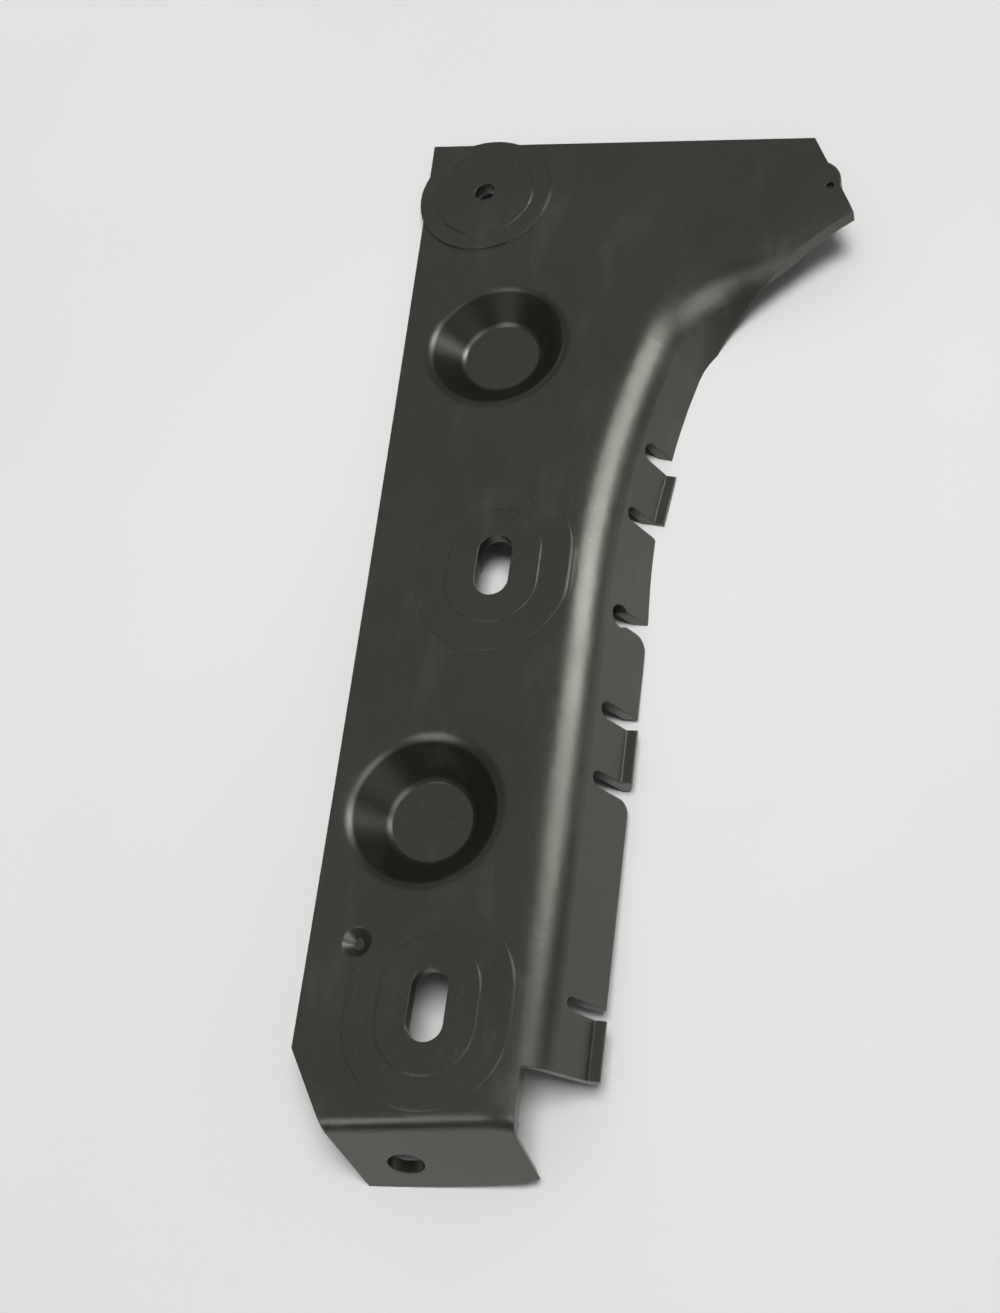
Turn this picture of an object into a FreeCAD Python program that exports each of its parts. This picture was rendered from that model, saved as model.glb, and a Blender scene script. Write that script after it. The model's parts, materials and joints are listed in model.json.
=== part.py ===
"""Bumper mounting bracket: one plastic moulding with two flared flanges and snap tabs.

Frame, in millimetres: the origin is the centre of the locating hole on the outer face of the
plate. +Z points out of that face, +Y runs up the plate towards the arm, +X runs to the arm's tip.
"""
import math
import os

import FreeCAD
import Part
from FreeCAD import Vector

# Wall of the moulding
wall = 2.5

# Plate outline, measured from the locating hole
left_edge_top_x = -13.9
left_edge_bottom_x = -9.4
left_edge_hollow = 0.4
top_corner_y = 14.3
arm_corner_x = 70.5
arm_corner_y = 9.9
arm_tip_x = 79.4
arm_tip_y = -9.8
left_edge_bottom_y = -188.6
corner_cut_x = -1.8
corner_cut_y = -201.4
arm_edge_slope = 39.5
arm_edge_hollow = 0.9

# Side line, where the plate and the flange would meet in a sharp corner
side_line_x = 33.5
sweep_start_y = -92.5
sweep_radius = 183.0
sweep_turn = 17.0
arm_radius = 25.0
arm_turn = 68.0

# Side flange
flange_depth = 16.8
side_flare = 28.0
side_inner_radius = 9.0
side_flange_end_y = -188.3
side_flange_end_slant = 1.2
run_out_start_x = 48.0
run_out_end_x = 61.2
run_out_depth = 5.5
arm_edge_lap = 1.2

# Bottom flange
bottom_line_y = -201.7
bottom_line_slope = 6.1
bottom_flange_depth = 20.6
bottom_flare = 17.5
bottom_inner_radius = 0.5
bottom_edge_bow = 1.0
plate_right_x = 32.0
bottom_end_x = 33.7
bottom_end_lean = 30.0
facet_start_x = 30.6
facet_set_back = 0.6

# Relief notches across the side flange: centre height, width, rounding of the corner below
notch_root_depth = 7.2
notches = {
    "first": (-60.4, 3.6, 0.6),
    "second": (-75.4, 3.0, 2.4),
    "third": (-98.1, 3.2, 3.0),
    "fourth": (-118.4, 3.4, 0.6),
    "fifth": (-132.5, 3.2, 2.4),
    "sixth": (-175.2, 2.4, 0.6),
}
keyhole_notch = "third"
keyhole_radius = 2.3

# Snap tabs, each between two notches or between a notch and the flange's end
tab_notches = [("first", "second"), ("fourth", "fifth"), ("sixth", None)]
ledge_depth = 14.3
ledge_width = 2.1
barb_lip = 0.8
tab_tip_depth = 18.8

# Dished wells: centre height and depth of each
well_x = 7.7
wells = {
    "upper": (-39.4, 5.6),
    "lower": (-142.9, 7.0),
}
well_rim_radius = 15.2
well_floor_radius = 7.9
well_inner_bend = 1.8

# Fixing points
locating_hole_radius = 2.2
slot_x = 14.3
slot_heights = [-92.0, -179.3]
slot_width = 6.8
slot_length = 13.2
boss_y = -0.5
boss_steps = [(14.6, 0.5), (10.8, 0.25)]
slot_pad_steps = [(15.2, 0.12), (9.2, 0.12)]
bottom_hole_radius = 3.4
bottom_hole_x = 10.7
bottom_hole_depth = 12.6

# Shallow dimple beside the lower slot
dimple_x = -0.6
dimple_y = -168.8
dimple_radius = 2.8
dimple_floor_radius = 1.0
dimple_depth = 1.8

# Round foot under the arm's end, and the pit beside it
foot_x = 70.9
foot_y = -1.1
foot_radius = 5.5
foot_top_step = 0.8
foot_depth = 5.0
pit_x = 74.3
pit_y = -2.9
pit_radius = 0.8
pit_depth = 1.2

# Reach of the cutting bodies past the moulding
reach = 30.0


def turned(centre, radius, turn):
    """Point on an arc about centre, turned from the -X side towards +Y."""
    a = math.radians(turn)
    return Vector(centre.x - radius * math.cos(a), centre.y + radius * math.sin(a), centre.z)


def sweep_centre(z=0.0):
    """Centre of the long sweep of the side line."""
    return Vector(side_line_x + sweep_radius, sweep_start_y, z)


def arm_centre(z=0.0):
    """Centre of the short sweep that turns the side line into the arm."""
    return turned(sweep_centre(z), sweep_radius - arm_radius, sweep_turn)


def bottom_line_point(x, offset, z=0.0):
    """Point of the bottom line at x, moved outward by offset."""
    slope = math.radians(bottom_line_slope)
    return Vector(x, bottom_line_y + x * math.tan(slope) - offset / math.cos(slope), z)


def tray_wire(z, side_offset, bottom_offset):
    """Closed outline of the tray at height z, open sides pushed out by the reach."""
    side_x = side_line_x + side_offset
    centre = sweep_centre(z)
    arm = arm_centre(z)
    r_sweep = sweep_radius - side_offset
    r_arm = arm_radius - side_offset
    left_x = left_edge_top_x - reach
    top_y = top_corner_y + reach
    a = bottom_line_point(left_x, bottom_offset, z)
    b = bottom_line_point(side_x, bottom_offset, z)
    c = Vector(side_x, sweep_start_y, z)
    d = turned(centre, r_sweep, sweep_turn)
    e = turned(arm, r_arm, arm_turn)
    run = arm_tip_x + reach - e.x
    f = Vector(e.x + run, e.y + run / math.tan(math.radians(arm_turn)), z)
    g = Vector(f.x, top_y + reach, z)
    h = Vector(left_x, top_y + reach, z)
    edges = [
        Part.makeLine(a, b),
        Part.makeLine(b, c),
        Part.Arc(c, turned(centre, r_sweep, sweep_turn / 2), d).toShape(),
        Part.Arc(d, turned(arm, r_arm, (sweep_turn + arm_turn) / 2), e).toShape(),
        Part.makeLine(e, f),
        Part.makeLine(f, g),
        Part.makeLine(g, h),
        Part.makeLine(h, a),
    ]
    return Part.Wire(edges)


def flared_offset(depth, flare, inset):
    """Outward offset of a flared face at a depth, or of the same face inset by a wall."""
    a = math.radians(flare)
    return depth * math.tan(a) - inset / math.cos(a)


def edges_at(shape, points):
    """Edges of the shape that pass through the points."""
    found = []
    for point in points:
        spot = Part.Vertex(point)
        near = min(shape.Edges, key=lambda edge: edge.distToShape(spot)[0])
        found.append(near)
    return found


def tray(top, bottom, inset, side_radius, bottom_radius):
    """Solid under the plate and inside the two flared flanges, with its bends rounded."""
    wires = []
    for depth in (top, bottom):
        side = flared_offset(depth, side_flare, inset)
        low = flared_offset(depth, bottom_flare, inset)
        wires.append(tray_wire(-depth, side, low))
    solid = Part.makeLoft(wires, True, True)
    side_line = wires[0].Edges[1:5]
    side_points = [edge.valueAt(middle(edge)) for edge in side_line]
    solid = solid.makeFillet(side_radius, edges_at(solid, side_points))
    bottom_middle = bottom_line_point(0.0, flared_offset(top, bottom_flare, inset), -top)
    return solid.makeFillet(bottom_radius, edges_at(solid, [bottom_middle]))


def middle(edge):
    """Parameter halfway along an edge."""
    return (edge.FirstParameter + edge.LastParameter) / 2


def prism(points, axis_vector):
    """Straight body on a closed polygon."""
    return Part.Face(Part.makePolygon(points + [points[0]])).extrude(axis_vector)


def outline_body():
    """Body that trims the tray to the plate's outline, with a hollow lower edge on the arm."""
    far_y = bottom_line_y - reach
    far_x = arm_tip_x + reach
    slope = math.radians(arm_edge_slope)
    end_x = run_out_end_x - arm_edge_lap
    end_y = arm_tip_y - (arm_tip_x - end_x) * math.tan(slope)
    cut_run = (corner_cut_x - left_edge_bottom_x) / (corner_cut_y - left_edge_bottom_y)
    low_x = corner_cut_x + (far_y - corner_cut_y) * cut_run
    tip = Vector(arm_tip_x, arm_tip_y, 1)
    hollow = Vector((arm_tip_x + end_x) / 2, (arm_tip_y + end_y) / 2, 1)
    hollow = hollow + Vector(-math.sin(slope), math.cos(slope), 0) * arm_edge_hollow
    end = Vector(end_x, end_y, 1)
    low_points = [
        Vector(end_x, end_y - reach, 1),
        Vector(far_x, end_y - reach, 1),
        Vector(far_x, far_y, 1),
        Vector(low_x, far_y, 1),
    ]
    low_left = Vector(left_edge_bottom_x, left_edge_bottom_y, 1)
    top_left = Vector(left_edge_top_x, top_corner_y, 1)
    left = (low_left + top_left) / 2 + Vector(left_edge_hollow, 0, 0)
    edges = Part.makePolygon([end] + low_points + [low_left]).Edges
    edges.append(Part.Arc(low_left, left, top_left).toShape())
    edges += Part.makePolygon([top_left, Vector(arm_corner_x, arm_corner_y, 1), tip]).Edges
    edges.append(Part.Arc(tip, hollow, end).toShape())
    return Part.Face(Part.Wire(edges)).extrude(Vector(0, 0, -2 * reach))


def free_edge_cutter():
    """Body under the side flange's free edge, which rises along the arm."""
    low = -bottom_flange_depth - reach
    far_x = arm_tip_x + reach
    y = side_flange_end_y - wall
    points = [
        Vector(0, y, -flange_depth),
        Vector(run_out_start_x, y, -flange_depth),
        Vector(run_out_end_x, y, -run_out_depth),
        Vector(far_x, y, -run_out_depth),
        Vector(far_x, y, low),
        Vector(0, y, low),
    ]
    return prism(points, Vector(0, reach - y, 0))


def shell():
    """Plate, rolled side edge and both flanges as one wall."""
    depth = bottom_flange_depth
    outer = tray(0.0, depth, 0.0, side_inner_radius + wall, bottom_inner_radius + wall)
    inner = tray(wall, depth + 1, wall, side_inner_radius, bottom_inner_radius)
    return outer.cut(inner)


def side_end_cutter():
    """Body past the side flange's slanted lower end."""
    low = -flange_depth - reach
    run = side_flange_end_slant / flange_depth
    points = [
        Vector(plate_right_x, side_flange_end_y - wall, 1),
        Vector(plate_right_x, side_flange_end_y, 1),
        Vector(plate_right_x, side_flange_end_y, 0),
        Vector(plate_right_x, side_flange_end_y - low * run, low),
        Vector(plate_right_x, side_flange_end_y - wall, low),
    ]
    return prism(points, Vector(reach, 0, 0))


def bottom_face_point(x, depth, inset=0.0):
    """Point on the bottom flange's outer face, or set back from it."""
    return bottom_line_point(x, flared_offset(depth, bottom_flare, inset), -depth)


def plate_end_cutter():
    """Body right of the plate's lower end and of the bottom flange, which spreads downward."""
    y = bottom_line_y - reach
    far_x = plate_right_x + reach
    low = -bottom_flange_depth
    points = [
        Vector(plate_right_x, y, 1),
        Vector(plate_right_x, y, -2 * wall),
        Vector(bottom_end_x, y, low),
        Vector(bottom_end_x, y, low - reach),
        Vector(far_x, y, low - reach),
        Vector(far_x, y, 1),
    ]
    return prism(points, Vector(0, side_flange_end_y - y, 0))


def end_lean_cutter():
    """Body behind the bottom flange's right end, which leans back from its outer edge."""
    top = bottom_face_point(plate_right_x, 2 * wall)
    low = bottom_face_point(bottom_end_x, bottom_flange_depth)
    low = low + (low - top) / 2
    back = Vector(-math.tan(math.radians(bottom_end_lean)), 1, 0) * (2 * wall)
    return prism([top - back, top + back, low + back, low - back], Vector(reach, 0, 0))


def end_facet_cutter():
    """Body outside the narrow facet that turns back along the bottom flange's right end."""
    top = bottom_face_point(plate_right_x, wall)
    start = bottom_face_point(facet_start_x, bottom_flange_depth)
    end = bottom_face_point(bottom_end_x, bottom_flange_depth, facet_set_back)
    across = end - start
    out = (start - top).cross(across)
    out.normalize()
    if out.y > 0:
        out = out * -1
    start = start + (start - top) / 2
    return prism([top, start, start + across * 4], out * wall)


def bottom_edge_cutter():
    """Body under the bottom flange's slightly bowed free edge."""
    y = bottom_line_y - reach
    left = Vector(corner_cut_x, y, bottom_edge_bow - bottom_flange_depth)
    right = Vector(bottom_end_x, y, bottom_edge_bow - bottom_flange_depth)
    lowest = Vector((left.x + right.x) / 2, y, -bottom_flange_depth)
    drop = Vector(0, 0, -reach)
    edges = Part.makePolygon([right, right + drop, left + drop, left]).Edges
    edges.append(Part.Arc(left, lowest, right).toShape())
    return Part.Face(Part.Wire(edges)).extrude(Vector(0, side_flange_end_y - y, 0))


def across_flange(body, y):
    """Turn a body drawn for the straight flange so that it crosses the side line at y."""
    if y <= sweep_start_y:
        body.translate(Vector(0, y, 0))
        return body
    turn = math.asin((y - sweep_start_y) / sweep_radius)
    body.translate(Vector(0, sweep_start_y, 0))
    body.rotate(sweep_centre(), Vector(0, 0, 1), -math.degrees(turn))
    return body


def notch(y, width, corner):
    """Relief notch with a round root and a rounded corner on the segment below it."""
    half = width / 2
    root = -notch_root_depth - half
    edge_z = -flange_depth
    low = edge_z - reach
    x = side_line_x - 2
    a = Vector(x, half, low)
    b = Vector(x, half, root)
    top = Vector(x, 0, root + half)
    c = Vector(x, -half, root)
    d = Vector(x, -half, edge_z + corner)
    s = corner * math.sqrt(0.5)
    mid = Vector(x, -half - corner + s, edge_z + corner - s)
    e = Vector(x, -half - corner, edge_z)
    f = Vector(x, -half - corner, low)
    edges = [
        Part.makeLine(a, b),
        Part.Arc(b, top, c).toShape(),
        Part.makeLine(c, d),
        Part.Arc(d, mid, e).toShape(),
        Part.makeLine(e, f),
        Part.makeLine(f, a),
    ]
    body = Part.Face(Part.Wire(edges)).extrude(Vector(reach, 0, 0))
    return across_flange(body, y)


def keyhole(y):
    """Round enlargement at a notch's root."""
    z = -notch_root_depth - keyhole_radius
    body = Part.makeCylinder(keyhole_radius, reach, Vector(side_line_x - 2, 0, z), Vector(1, 0, 0))
    return across_flange(body, y)


def flange_x(depth, inset):
    """Where the straight side flange's outer face, or its inset face, lies at a depth."""
    return side_line_x + flared_offset(depth, side_flare, inset)


def snap_barb(length):
    """Section of a tab's end, with a catch ledge and a lead-in ramp, run along the tab."""
    points = [
        Vector(flange_x(ledge_depth, wall), 0, -ledge_depth),
        Vector(flange_x(ledge_depth, 0) + ledge_width, 0, -ledge_depth),
        Vector(flange_x(ledge_depth, 0) + ledge_width, 0, -ledge_depth - barb_lip),
        Vector(flange_x(tab_tip_depth, wall) + wall / 2, 0, -tab_tip_depth),
        Vector(flange_x(tab_tip_depth, wall), 0, -tab_tip_depth),
    ]
    return prism(points, Vector(0, length, 0))


def tabs():
    """Snap barbs on all tabs."""
    bodies = []
    for upper, lower in tab_notches:
        y, width, _ = notches[upper]
        top = y - width / 2
        bottom = side_flange_end_y
        if lower is not None:
            y, width, _ = notches[lower]
            bottom = y + width / 2
        barb = snap_barb(top - bottom)
        barb.translate(Vector(0, (bottom - top) / 2, 0))
        bodies.append(across_flange(barb, (top + bottom) / 2))
    return bodies


def well_slope(depth):
    """Angle by which the wall of a well leans down from the plate."""
    return math.atan2(depth, well_rim_radius - well_floor_radius)


def well_collar(depth):
    """Radius at which a well, with its rounded rim, joins the flat plate."""
    rim_run = (well_inner_bend + wall) * math.tan(well_slope(depth) / 2)
    return well_rim_radius + rim_run + wall / 2


def well(y, depth):
    """Dished well with the wall's thickness, as a turned body about its own axis."""
    outer_bend = well_inner_bend + wall
    lean = wall * math.tan(well_slope(depth) / 2)
    collar = well_collar(depth)
    points = [
        Vector(collar, 0, 0),
        Vector(well_rim_radius, 0, 0),
        Vector(well_floor_radius, 0, -depth),
        Vector(0, 0, -depth),
        Vector(0, 0, -depth - wall),
        Vector(well_floor_radius - lean, 0, -depth - wall),
        Vector(well_rim_radius - lean, 0, -wall),
        Vector(collar, 0, -wall),
    ]
    face = Part.Face(Part.makePolygon(points + [points[0]]))
    body = face.revolve(Vector(0, 0, 0), Vector(0, 0, 1), 360)
    rims = edges_at(body, [points[1], points[5]])
    body = body.makeFillet(outer_bend, rims)
    hollows = edges_at(body, [points[2], points[6]])
    body = body.makeFillet(well_inner_bend, hollows)
    body.translate(Vector(well_x, y, 0))
    return body


def well_blank(y, depth):
    """Piece of the plate that a well replaces."""
    return Part.makeCylinder(well_collar(depth), 4 * wall, Vector(well_x, y, -2 * wall))


def slot_body(radius, low, high, y):
    """Upright body on a slot outline whose ends are round, with the given end radius."""
    half = (slot_length - slot_width) / 2
    a = Vector(slot_x + radius, y - half, low)
    b = Vector(slot_x + radius, y + half, low)
    c = Vector(slot_x - radius, y + half, low)
    d = Vector(slot_x - radius, y - half, low)
    edges = [
        Part.makeLine(a, b),
        Part.Arc(b, Vector(slot_x, y + half + radius, low), c).toShape(),
        Part.makeLine(c, d),
        Part.Arc(d, Vector(slot_x, y - half - radius, low), a).toShape(),
    ]
    return Part.Face(Part.Wire(edges)).extrude(Vector(0, 0, high - low))


def stepped_boss():
    """Round pad about the locating hole, raised in steps."""
    centre = Vector(0, boss_y, -wall)
    height = 0.0
    layers = []
    for radius, step in boss_steps:
        height += step
        layers.append(Part.makeCylinder(radius, wall + height, centre))
    return layers[0].fuse(layers[1:]).removeSplitter()


def stepped_slot_pad(y):
    """Long pad about a slot, raised in steps."""
    height = 0.0
    layers = []
    for radius, step in slot_pad_steps:
        height += step
        layers.append(slot_body(radius, -wall, height, y))
    return layers[0].fuse(layers[1:]).removeSplitter()


def bottom_hole():
    """Round hole square to the bottom flange's face."""
    slope = math.radians(bottom_line_slope)
    flare = math.radians(bottom_flare)
    offset = flared_offset(bottom_hole_depth, bottom_flare, 0)
    centre = bottom_line_point(bottom_hole_x, offset, -bottom_hole_depth)
    out = Vector(math.sin(slope) * math.cos(flare), -math.cos(slope) * math.cos(flare), math.sin(flare))
    start = centre - out * (2 * wall)
    return Part.makeCylinder(bottom_hole_radius, 4 * wall, start, out)


def foot():
    """Round foot that stands under the arm and a little past its end."""
    return Part.makeCylinder(foot_radius, foot_depth - foot_top_step, Vector(foot_x, foot_y, -foot_depth))


def bracket():
    """The whole moulding."""
    body = shell()
    for y, depth in wells.values():
        body = body.cut(well_blank(y, depth)).fuse(well(y, depth))
    body = body.common(outline_body())
    body = body.cut(free_edge_cutter())
    body = body.cut(plate_end_cutter())
    body = body.cut(end_lean_cutter())
    body = body.cut(end_facet_cutter())
    body = body.cut(bottom_edge_cutter())
    body = body.fuse(foot())
    body = body.fuse(stepped_boss())
    for y in slot_heights:
        body = body.fuse(stepped_slot_pad(y))
    for barb in tabs():
        body = body.fuse(barb)
    for y, width, corner in notches.values():
        body = body.cut(notch(y, width, corner))
    body = body.cut(keyhole(notches[keyhole_notch][0]))
    body = body.cut(side_end_cutter())
    body = body.cut(Part.makeCylinder(locating_hole_radius, 4 * wall, Vector(0, 0, -2 * wall)))
    for y in slot_heights:
        body = body.cut(slot_body(slot_width / 2, -2 * wall, 2 * wall, y))
    body = body.cut(bottom_hole())
    body = body.cut(Part.makeCylinder(pit_radius, pit_depth + 1, Vector(pit_x, pit_y, -pit_depth)))
    floor = Vector(dimple_x, dimple_y, -dimple_depth)
    dimple = Part.makeCone(dimple_floor_radius, dimple_radius, dimple_depth, floor)
    above = Part.makeCylinder(dimple_radius, wall, Vector(dimple_x, dimple_y, 0))
    return body.cut(dimple.fuse(above)).Solids[0]


os.makedirs("parts", exist_ok=True)
model = bracket()
model.exportStep("parts/mounting_bracket.step")
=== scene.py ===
"""Studio scene of the bumper mounting bracket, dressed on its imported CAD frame.

All lengths are metres in the part's own frame: +Z points out of the plate's outer face,
+Y runs up the plate along the slots and +X runs towards the arm's tip.
"""

import json
import logging
from dataclasses import dataclass, field
from enum import Enum
from typing import Any, Optional, Sequence

import bpy
import numpy as np
from mathutils import Matrix, Quaternion, Vector


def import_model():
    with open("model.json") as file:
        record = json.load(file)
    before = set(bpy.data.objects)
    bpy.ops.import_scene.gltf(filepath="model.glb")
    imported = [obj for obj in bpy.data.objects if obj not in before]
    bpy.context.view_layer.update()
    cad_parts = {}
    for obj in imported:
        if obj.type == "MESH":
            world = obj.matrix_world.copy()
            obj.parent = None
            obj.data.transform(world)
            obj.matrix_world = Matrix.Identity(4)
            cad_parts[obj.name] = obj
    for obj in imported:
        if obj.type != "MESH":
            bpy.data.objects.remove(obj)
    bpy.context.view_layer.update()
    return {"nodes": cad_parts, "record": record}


logging.basicConfig(level=logging.INFO, format="%(message)s")
log = logging.getLogger("bracket")

Triple = tuple[float, float, float]
Point = tuple[float, float]

MILLIMETRE = 0.001


class Node(str, Enum):
    """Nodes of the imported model."""

    BRACKET = "mounting_bracket"


class Shader(str, Enum):
    """Node types used in the materials."""

    OUTPUT = "ShaderNodeOutputMaterial"
    PRINCIPLED = "ShaderNodeBsdfPrincipled"
    COORDINATES = "ShaderNodeTexCoord"
    MAPPING = "ShaderNodeMapping"
    NOISE = "ShaderNodeTexNoise"
    MIX = "ShaderNodeMix"
    MATH = "ShaderNodeMath"
    VECTOR_MATH = "ShaderNodeVectorMath"
    BUMP = "ShaderNodeBump"
    BEVEL = "ShaderNodeBevel"
    GEOMETRY = "ShaderNodeNewGeometry"
    RANGE = "ShaderNodeMapRange"
    SPLIT = "ShaderNodeSeparateXYZ"


@dataclass(frozen=True)
class Relief:
    """How much a height tilts the surface.

    Attributes:
        strength: share of the full effect.
        distance: height of one unit.
    """

    strength: float
    distance: float


class Graph:
    """Builds one material's node tree in short steps."""

    def __init__(self, name: str) -> None:
        """Start an empty material.

        Args:
            name: the material's name.
        """
        self.material = bpy.data.materials.new(name)
        self.material.use_nodes = True
        self.tree = self.material.node_tree
        self.tree.nodes.clear()
        self.shader = self.add(Shader.PRINCIPLED)
        self.output = self.add(Shader.OUTPUT)
        self.link(self.shader.outputs["BSDF"], self.output.inputs["Surface"])
        self.place = self.add(Shader.COORDINATES).outputs["Object"]

    def add(self, kind: Shader, **values: Any) -> bpy.types.Node:
        """Add a node.

        Args:
            kind: the node's type.
            **values: properties set on it.

        Returns:
            The new node.
        """
        node = self.tree.nodes.new(kind.value)
        for key, value in values.items():
            setattr(node, key, value)
        return node

    def link(self, source: bpy.types.NodeSocket, target: bpy.types.NodeSocket) -> None:
        """Join two sockets.

        Args:
            source: an output.
            target: an input.
        """
        self.tree.links.new(source, target)

    def noise(
        self, scale: float, detail: float, rough: float, stretch: Triple
    ) -> bpy.types.NodeSocket:
        """Fractal noise on the object's own coordinates.

        Args:
            scale: cells per metre.
            detail: octaves.
            rough: strength of the fine octaves.
            stretch: factors on the coordinates.

        Returns:
            The noise value.
        """
        mapping = self.add(Shader.MAPPING)
        mapping.inputs["Scale"].default_value = stretch
        self.link(self.place, mapping.inputs["Vector"])
        node = self.add(Shader.NOISE)
        node.inputs["Scale"].default_value = scale
        node.inputs["Detail"].default_value = detail
        node.inputs["Roughness"].default_value = rough
        self.link(mapping.outputs["Vector"], node.inputs["Vector"])
        return node.outputs["Fac"]

    def ranged(
        self, source: bpy.types.NodeSocket, low: float, high: float, to_low: float, to_high: float
    ) -> bpy.types.NodeSocket:
        """Map a value from one range to another, held at its ends.

        Args:
            source: the value.
            low: start of its range.
            high: end of its range.
            to_low: result at low.
            to_high: result at high.

        Returns:
            The mapped value.
        """
        node = self.add(Shader.RANGE, interpolation_type="SMOOTHSTEP")
        for key, value in (
            ("From Min", low),
            ("From Max", high),
            ("To Min", to_low),
            ("To Max", to_high),
        ):
            node.inputs[key].default_value = value
        self.link(source, node.inputs["Value"])
        return node.outputs["Result"]

    def math(
        self, operation: str, first: bpy.types.NodeSocket, second: Any
    ) -> bpy.types.NodeSocket:
        """Join two values by an operation.

        Args:
            operation: the node's operation.
            first: a value socket.
            second: a value socket or a number.

        Returns:
            The result.
        """
        node = self.add(Shader.MATH, operation=operation)
        self.link(first, node.inputs[0])
        if isinstance(second, (int, float)):
            node.inputs[1].default_value = second
        else:
            self.link(second, node.inputs[1])
        return node.outputs[0]

    def blend(
        self, mask: bpy.types.NodeSocket, first: Any, second: Any
    ) -> bpy.types.NodeSocket:
        """Mix two colours by a mask.

        Args:
            mask: the share of the second colour.
            first: a colour or a colour socket.
            second: a colour or a colour socket.

        Returns:
            The mixed colour.
        """
        node = self.add(Shader.MIX, data_type="RGBA")
        self.link(mask, node.inputs["Factor"])
        sides = [s for s in node.inputs if s.type == "RGBA"]
        for socket, value in zip(sides, (first, second)):
            if isinstance(value, tuple):
                socket.default_value = (*value, 1.0)
            else:
                self.link(value, socket)
        return next(s for s in node.outputs if s.type == "RGBA")

    def radius(self, centre: Point, straight: float = 0.0) -> bpy.types.NodeSocket:
        """Distance across the plate from a point or from a short upright line.

        Args:
            centre: the point, or the line's middle.
            straight: half of the line's length.

        Returns:
            The distance in metres.
        """
        moved = self.add(Shader.MAPPING)
        moved.inputs["Location"].default_value = (-centre[0], -centre[1], 0.0)
        self.link(self.place, moved.inputs["Vector"])
        split = self.add(Shader.SPLIT)
        self.link(moved.outputs["Vector"], split.inputs["Vector"])
        across, along = split.outputs["X"], split.outputs["Y"]
        along = self.math("SUBTRACT", self.math("ABSOLUTE", along, 0.0), straight)
        along = self.math("MAXIMUM", along, 0.0)
        across = self.math("MULTIPLY", across, across)
        square = self.math("ADD", across, self.math("MULTIPLY", along, along))
        return self.math("SQRT", square, 0.0)

    def ring(
        self, radius: bpy.types.NodeSocket, inner: float, outer: float, soft: float
    ) -> bpy.types.NodeSocket:
        """Mask of a ring with soft borders.

        Args:
            radius: distance from the ring's centre.
            inner: the ring's inner radius.
            outer: the ring's outer radius.
            soft: half of a border's width.

        Returns:
            A value that is 1 in the ring and 0 away from it.
        """
        inside = self.ranged(radius, inner - soft, inner + soft, 0.0, 1.0)
        outside = self.ranged(radius, outer - soft, outer + soft, 1.0, 0.0)
        return self.math("MULTIPLY", inside, outside)

    def bump(
        self, height: bpy.types.NodeSocket, relief: Relief, normal: bpy.types.NodeSocket
    ) -> bpy.types.NodeSocket:
        """Tilt the surface by a height.

        Args:
            height: the height value.
            relief: how much it tilts.
            normal: the normal that is tilted.

        Returns:
            The new normal.
        """
        node = self.add(Shader.BUMP)
        node.inputs["Strength"].default_value = relief.strength
        node.inputs["Distance"].default_value = relief.distance
        self.link(height, node.inputs["Height"])
        self.link(normal, node.inputs["Normal"])
        return node.outputs["Normal"]


@dataclass(frozen=True)
class Pattern:
    """Fractal noise, and the part of its range that makes a mask.

    Attributes:
        scale: cells per metre.
        detail: octaves.
        rough: strength of the fine octaves.
        stretch: factors on the coordinates.
        low: noise value where the mask starts.
        high: noise value where the mask is full.
    """

    scale: float
    detail: float = 3.0
    rough: float = 0.5
    stretch: Triple = (1.0, 1.0, 1.0)
    low: float = 0.35
    high: float = 0.65

    def value(self, g: Graph) -> bpy.types.NodeSocket:
        """The plain noise.

        Args:
            g: the material's graph.

        Returns:
            The noise value.
        """
        return g.noise(self.scale, self.detail, self.rough, self.stretch)

    def mask(self, g: Graph, least: float = 0.0) -> bpy.types.NodeSocket:
        """The noise cut to its range.

        Args:
            g: the material's graph.
            least: the mask's lowest value.

        Returns:
            A value from least to 1.
        """
        return g.ranged(self.value(g), self.low, self.high, least, 1.0)


@dataclass(frozen=True)
class TurnedPad:
    """Faint concentric tool marks around a hole or a slot.

    Attributes:
        centre: middle of the marks on the plate.
        straight: half of the straight run of an oval mark.
        inner: radius where the marks start.
        outer: radius where they end.
        pitch: distance between two marks.
    """

    centre: Point
    straight: float
    inner: float
    outer: float
    pitch: float

    def height(self, g: Graph) -> bpy.types.NodeSocket:
        """Height of the marks on a material's surface.

        Args:
            g: the material's graph.

        Returns:
            The height, from -1 to 1, and 0 away from the pad.
        """
        radius = g.radius(self.centre, self.straight)
        wave = g.math("SINE", g.math("MULTIPLY", radius, 2.0 * np.pi / self.pitch), 0.0)
        return g.math("MULTIPLY", wave, g.ring(radius, self.inner, self.outer, self.pitch / 2))


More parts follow.
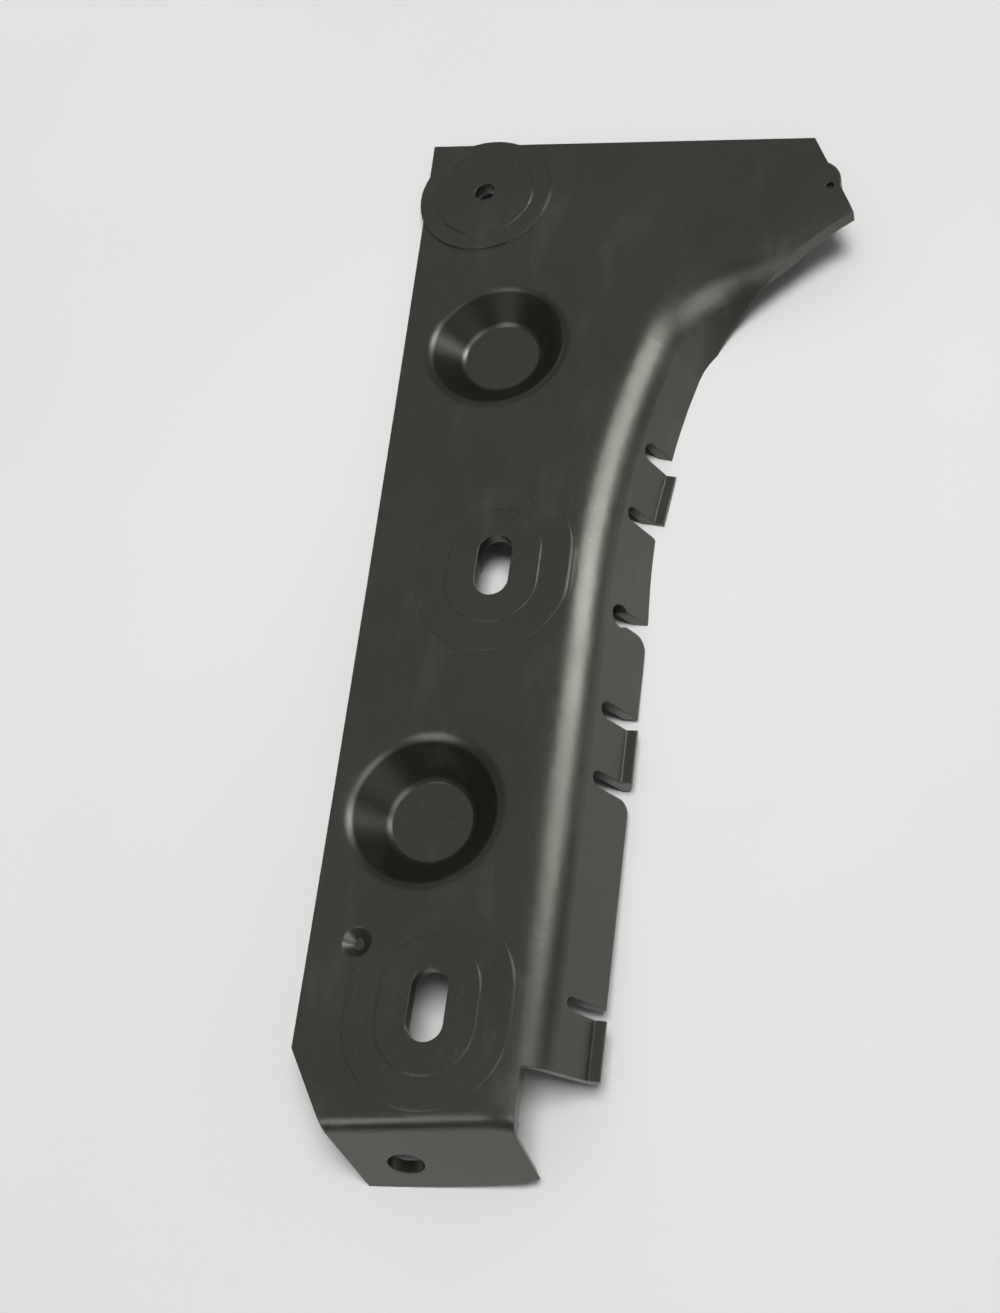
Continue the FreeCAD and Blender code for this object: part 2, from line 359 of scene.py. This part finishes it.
@dataclass(frozen=True)
class PadMarks:
    """Tool marks of the locating hole's pad and of the slots' pads."""

    hole_centre: Point = (0.0, -0.0005)
    hole_inner: float = 0.0050
    hole_outer: float = 0.0140
    hole_pitch: float = 0.0021
    slot_inner: float = 0.0085
    slot_outer: float = 0.0160
    slot_pitch: float = 0.0017

    def pads(self, record: dict[str, Any]) -> list[TurnedPad]:
        """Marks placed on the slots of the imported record.

        Args:
            record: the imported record.

        Returns:
            The marks of each pad.
        """
        slots = next(mount for mount in record["mounts"] if mount["name"] == "slots")
        x, y = slots["pos_m"][:2]
        dims = slots["dims"]
        half_spacing = dims["spacing_y_mm"] * MILLIMETRE / 2
        straight = (dims["slot_length_mm"] / 2 - dims["hole_r_mm"]) * MILLIMETRE
        marks = [
            TurnedPad((x, height), straight, self.slot_inner, self.slot_outer, self.slot_pitch)
            for height in (y + half_spacing, y - half_spacing)
        ]
        marks.append(
            TurnedPad(self.hole_centre, 0.0, self.hole_inner, self.hole_outer, self.hole_pitch)
        )
        return marks


@dataclass(frozen=True)
class PaintedWellShade:
    """Painted shade on the wall of a dished well, between its rim and its floor: a darker colour and a
    duller reflection stand in for the shade of a steep wall.

    Attributes:
        centre: the well's middle on the plate.
        inner: radius at the floor.
        outer: radius at the rim.
        soft: half of a border's width.
    """

    centre: Point
    inner: float = 0.0086
    outer: float = 0.0139
    soft: float = 0.0005

    def mask(self, g: Graph) -> bpy.types.NodeSocket:
        """Share of the painted shade on the wall.

        Args:
            g: the material's graph.

        Returns:
            A value that is 1 on the wall and 0 away from it.
        """
        return g.ring(g.radius(self.centre), self.inner, self.outer, self.soft)


@dataclass(frozen=True)
class MouldedPlastic:
    """Black moulded plastic with a fine grain, handling marks, softly rounded edges and painted shade on
    the wells' walls.

    Attributes:
        base, cloudy: the two blacks of the open faces.
        wall_shade_colour: black of the wells' walls, and wall_shade_share is how far they take it.
        The wells' walls get painted shade: a darker black, taken as far as its share says.
        worn: colour of worn edges, up to edge_share where the bend is sharp.
        sheen: strength of the reflection on open faces; the weaker reflection in the wells is part of
            their painted shade.
    """

    name: str = "moulded_plastic"
    base: Triple = (0.0140, 0.0145, 0.0118)
    cloudy: Triple = (0.0185, 0.0190, 0.0160)
    # Painted shade colour of the wells' walls.
    wall_shade_colour: Triple = (0.0090, 0.0094, 0.0075)
    dusty: Triple = (0.0560, 0.0565, 0.0500)
    worn: Triple = (0.0700, 0.0710, 0.0650)

    clouds: Pattern = Pattern(38.0, 4.0, 0.6, low=0.30, high=0.72)
    smears: Pattern = Pattern(95.0, 5.0, 0.62, (1.0, 0.35, 1.0), low=0.52, high=0.72)
    specks: Pattern = Pattern(900.0, 2.0, low=0.63, high=0.72)
    wear: Pattern = Pattern(260.0)
    waves: Pattern = Pattern(70.0, 2.0, 0.4)
    grain: Pattern = Pattern(1500.0, 2.0, 0.6)
    scratches: Pattern = Pattern(420.0, 2.0, stretch=(0.06, 1.0, 1.0), low=0.68, high=0.74)

    smear_share: float = 0.35
    speck_share: float = 0.30
    wear_least: float = 0.25
    # Share of the painted shade on the wells' walls.
    wall_shade_share: float = 0.35
    edge_share: float = 0.30
    edge_sharp: float = 0.82
    edge_open: float = 0.99
    edge_radius: float = 0.00045
    edge_samples: int = 6

    rough_low: float = 0.30
    rough_high: float = 0.36
    smear_rough: float = 0.04
    worn_rough: float = 0.06
    ior: float = 1.70
    sheen: float = 0.5
    # Weaker reflection on the wells' walls, part of their painted shade.
    wall_shade_sheen: float = 0.10
    sheen_tint: Triple = (1.0, 1.0, 0.88)

    wave_relief: Relief = Relief(0.5, 0.00008)
    grain_relief: Relief = Relief(0.35, 0.00003)
    mark_relief: Relief = Relief(0.6, 0.00003)
    scratch_relief: Relief = Relief(0.25, 0.00002)
    marks: PadMarks = PadMarks()
    # Wells whose walls get painted shade.
    walls: tuple[PaintedWellShade, PaintedWellShade] = (PaintedWellShade((0.0077, -0.0394)), PaintedWellShade((0.0077, -0.1429)))

    def build(self, record: dict[str, Any]) -> bpy.types.Material:
        """Make the material.

        Args:
            record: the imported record, which places the slots' pads.

        Returns:
            The finished material.
        """
        g = Graph(self.name)
        bevel = g.add(Shader.BEVEL, samples=self.edge_samples)
        bevel.inputs["Radius"].default_value = self.edge_radius
        rounded = bevel.outputs["Normal"]
        clouds, smears = self.clouds.mask(g), self.smears.mask(g)
        worn = g.math("MULTIPLY", self.edge_mask(g, rounded), self.wear.mask(g, self.wear_least))
        # Painted shade: the wells' walls get a darker colour and a weaker reflection.
        shade = g.math("ADD", *(wall.mask(g) for wall in self.walls))

        g.link(self.colour(g, clouds, smears, worn, shade), g.shader.inputs["Base Color"])
        sheen = g.ranged(shade, 0.0, 1.0, self.sheen, self.wall_shade_sheen)
        g.link(sheen, g.shader.inputs["Specular IOR Level"])
        rough = g.ranged(clouds, 0.0, 1.0, self.rough_low, self.rough_high)
        rough = g.math("ADD", rough, g.math("MULTIPLY", smears, self.smear_rough))
        rough = g.math("ADD", rough, g.math("MULTIPLY", worn, self.worn_rough))
        g.link(rough, g.shader.inputs["Roughness"])
        g.shader.inputs["IOR"].default_value = self.ior
        g.shader.inputs["Specular Tint"].default_value = (*self.sheen_tint, 1.0)

        normal = g.bump(self.waves.value(g), self.wave_relief, rounded)
        normal = g.bump(self.grain.value(g), self.grain_relief, normal)
        for pad in self.marks.pads(record):
            normal = g.bump(pad.height(g), self.mark_relief, normal)
        normal = g.bump(self.scratches.mask(g), self.scratch_relief, normal)
        g.link(normal, g.shader.inputs["Normal"])
        return g.material

    def colour(
        self,
        g: Graph,
        clouds: bpy.types.NodeSocket,
        smears: bpy.types.NodeSocket,
        worn: bpy.types.NodeSocket,
        shade: bpy.types.NodeSocket,
    ) -> bpy.types.NodeSocket:
        """Colour of the surface, from its layers.

        Args:
            g: the material's graph.
            clouds: mask of the cloudy patches.
            smears: mask of the dusty smears.
            worn: mask of the worn edges.
            shade: mask of the painted shade on the wells' walls.

        Returns:
            The colour.
        """
        colour = g.blend(clouds, self.base, self.cloudy)
        colour = g.blend(g.math("MULTIPLY", smears, self.smear_share), colour, self.dusty)
        specks = g.math("MULTIPLY", self.specks.mask(g), self.speck_share)
        colour = g.blend(specks, colour, self.dusty)
        colour = g.blend(worn, colour, self.worn)
        # Painted shade: a darker colour on the wells' walls.
        return g.blend(g.math("MULTIPLY", shade, self.wall_shade_share), colour, self.wall_shade_colour)

    def edge_mask(self, g: Graph, rounded: bpy.types.NodeSocket) -> bpy.types.NodeSocket:
        """Share of wear on an edge.

        Args:
            g: the material's graph.
            rounded: the normal with its edges rounded.

        Returns:
            A value that is edge_share on an edge and 0 on an open face.
        """
        facing = g.add(Shader.VECTOR_MATH, operation="DOT_PRODUCT")
        g.link(rounded, facing.inputs[0])
        g.link(g.add(Shader.GEOMETRY).outputs["Normal"], facing.inputs[1])
        value = facing.outputs["Value"]
        return g.ranged(value, self.edge_sharp, self.edge_open, self.edge_share, 0.0)


@dataclass(frozen=True)
class TableFinish:
    """Matt white table top with a trace of unevenness."""

    name: str = "table_top"
    pale: Triple = (0.83, 0.83, 0.822)
    paler: Triple = (0.86, 0.86, 0.853)
    tone: Pattern = Pattern(6.0)
    roughness: float = 0.65
    sheen: float = 0.2

    def build(self) -> bpy.types.Material:
        """Make the material.

        Returns:
            The finished material.
        """
        g = Graph(self.name)
        g.link(g.blend(self.tone.mask(g), self.pale, self.paler), g.shader.inputs["Base Color"])
        g.shader.inputs["Roughness"].default_value = self.roughness
        g.shader.inputs["Specular IOR Level"].default_value = self.sheen
        return g.material


@dataclass
class Moulding:
    """The one-piece bracket, shown with its CAD solid's own form."""

    node: Node = Node.BRACKET
    finish: MouldedPlastic = field(default_factory=MouldedPlastic)

    def build(
        self, nodes: dict[str, bpy.types.Object], record: dict[str, Any]
    ) -> bpy.types.Object:
        """Give the node its material.

        Args:
            nodes: the CAD nodes by name.
            record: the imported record.

        Returns:
            The dressed object.
        """
        obj = nodes[self.node.value]
        material = self.finish.build(record)
        slots = obj.data.materials
        if not len(slots):
            slots.append(material)
        for index in range(len(slots)):
            slots[index] = material
        log.info("%s: %d triangles", obj.name, len(obj.data.polygons))
        return obj


@dataclass
class Table:
    """Table top through three points of the lying bracket."""

    contacts: tuple[Triple, Triple, Triple] = (
        (-0.0139, 0.0143, -0.0025),
        (0.0020, -0.2076, -0.0200),
        (0.0432, -0.1253, -0.0190),
    )
    half_size: float = 3.0
    finish: TableFinish = field(default_factory=TableFinish)

    def normal(self) -> Vector:
        """Upward normal of the table.

        Returns:
            A unit vector.
        """
        a, b, c = (Vector(p) for p in self.contacts)
        up = (b - a).cross(c - a).normalized()
        return up if up.z > 0 else -up

    def build(self) -> bpy.types.Object:
        """Make the table top.

        Returns:
            The stage object.
        """
        up = self.normal()
        along = Vector((0.0, 1.0, 0.0))
        along = (along - up * along.dot(up)).normalized()
        across = along.cross(up)
        centre = Vector(self.contacts[0])
        signs = np.array([(-1, -1), (1, -1), (1, 1), (-1, 1)], float) * self.half_size
        corners = np.array(centre) + signs[:, :1] * np.array(across) + signs[:, 1:] * np.array(along)
        mesh = bpy.data.meshes.new("table")
        mesh.from_pydata([tuple(p) for p in corners], [], [(0, 1, 2, 3)])
        mesh.update()
        table = bpy.data.objects.new("table", mesh)
        bpy.context.scene.collection.objects.link(table)
        table.data.materials.append(self.finish.build())
        log.info("table top tilted by %.1f degrees", np.degrees(up.angle(Vector((0, 0, 1)))))
        return table


@dataclass(frozen=True)
class SoftBox:
    """Square area light that faces the bracket.

    Attributes:
        name: the light's name.
        direction: where it stands, seen from the bracket.
        distance: how far it stands.
        size: the square's side.
        power: watts.
        fills: it lights matt surfaces and throws shadows.
        shines: it shows as a highlight.
    """

    name: str
    direction: Triple
    distance: float
    size: float
    power: float
    fills: bool = True
    shines: bool = True

    def build(self, target: Vector) -> bpy.types.Object:
        """Make the light.

        Args:
            target: the point that it faces.

        Returns:
            The light object.
        """
        data = bpy.data.lights.new(self.name, "AREA")
        data.shape = "SQUARE"
        data.size = self.size
        data.energy = self.power
        light = bpy.data.objects.new(self.name, data)
        light.visible_diffuse = self.fills
        light.visible_glossy = self.shines
        towards = Vector(self.direction).normalized()
        light.matrix_world = Matrix.Translation(target + towards * self.distance) @ (
            towards.to_track_quat("Z", "Y").to_matrix().to_4x4()
        )
        bpy.context.scene.collection.objects.link(light)
        return light


@dataclass
class Studio:
    """Soft light from boxes over the table, and an even surround."""

    target: Triple = (0.025, -0.09, 0.0)
    surround: Triple = (0.14, 0.14, 0.14)
    boxes: Sequence[SoftBox] = (
        SoftBox("ceiling_box", (-0.25, 0.35, 0.90), 2.4, 2.6, 6.4),
        SoftBox("main_box", (0.18, -0.04, 0.98), 1.3, 0.50, 12.8, shines=False),
        SoftBox("rim_box", (-0.30, -0.60, 0.74), 1.3, 0.65, 3.6, fills=False),
        SoftBox("side_box", (0.74, -0.36, 0.57), 1.2, 0.85, 6.0, fills=False),
        SoftBox("sheen_box", (0.60, 0.46, 0.66), 1.2, 0.32, 3.0, fills=False),
        SoftBox("low_sheen_box", (0.77, 0.43, 0.46), 1.2, 0.38, 4.4, fills=False),
    )

    def build(self) -> None:
        """Make the lights and the surround."""
        for box in self.boxes:
            box.build(Vector(self.target))
        world = bpy.data.worlds.new("surround")
        bpy.context.scene.world = world
        world.use_nodes = True
        back = world.node_tree.nodes["Background"]
        back.inputs["Color"].default_value = (*self.surround, 1.0)
        back.inputs["Strength"].default_value = 1.0


@dataclass(frozen=True)
class PhotoCamera:
    """Camera at the photograph's place."""

    place: Triple = (0.11109, -0.25343, 0.29597)
    turn: tuple[float, float, float, float] = (0.965696, 0.220291, 0.132329, 0.037304)
    lens: float = 49.35
    sensor: float = 36.0
    nearest: float = 0.01
    farthest: float = 50.0

    def build(self) -> bpy.types.Object:
        """Make the camera and set it as the scene's.

        Returns:
            The camera object.
        """
        data = bpy.data.cameras.new("camera")
        data.lens = self.lens
        data.sensor_width = self.sensor
        data.clip_start = self.nearest
        data.clip_end = self.farthest
        camera = bpy.data.objects.new("camera", data)
        camera.matrix_world = Matrix.Translation(self.place) @ Quaternion(self.turn).to_matrix().to_4x4()
        bpy.context.scene.collection.objects.link(camera)
        bpy.context.scene.camera = camera
        return camera


def main() -> None:
    """Build the whole scene."""
    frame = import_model()
    PhotoCamera().build()
    Moulding().build(frame["nodes"], frame["record"])
    Table().build()
    Studio().build()
    bpy.context.scene.view_settings.view_transform = "Standard"


if __name__ == "__main__":
    main()
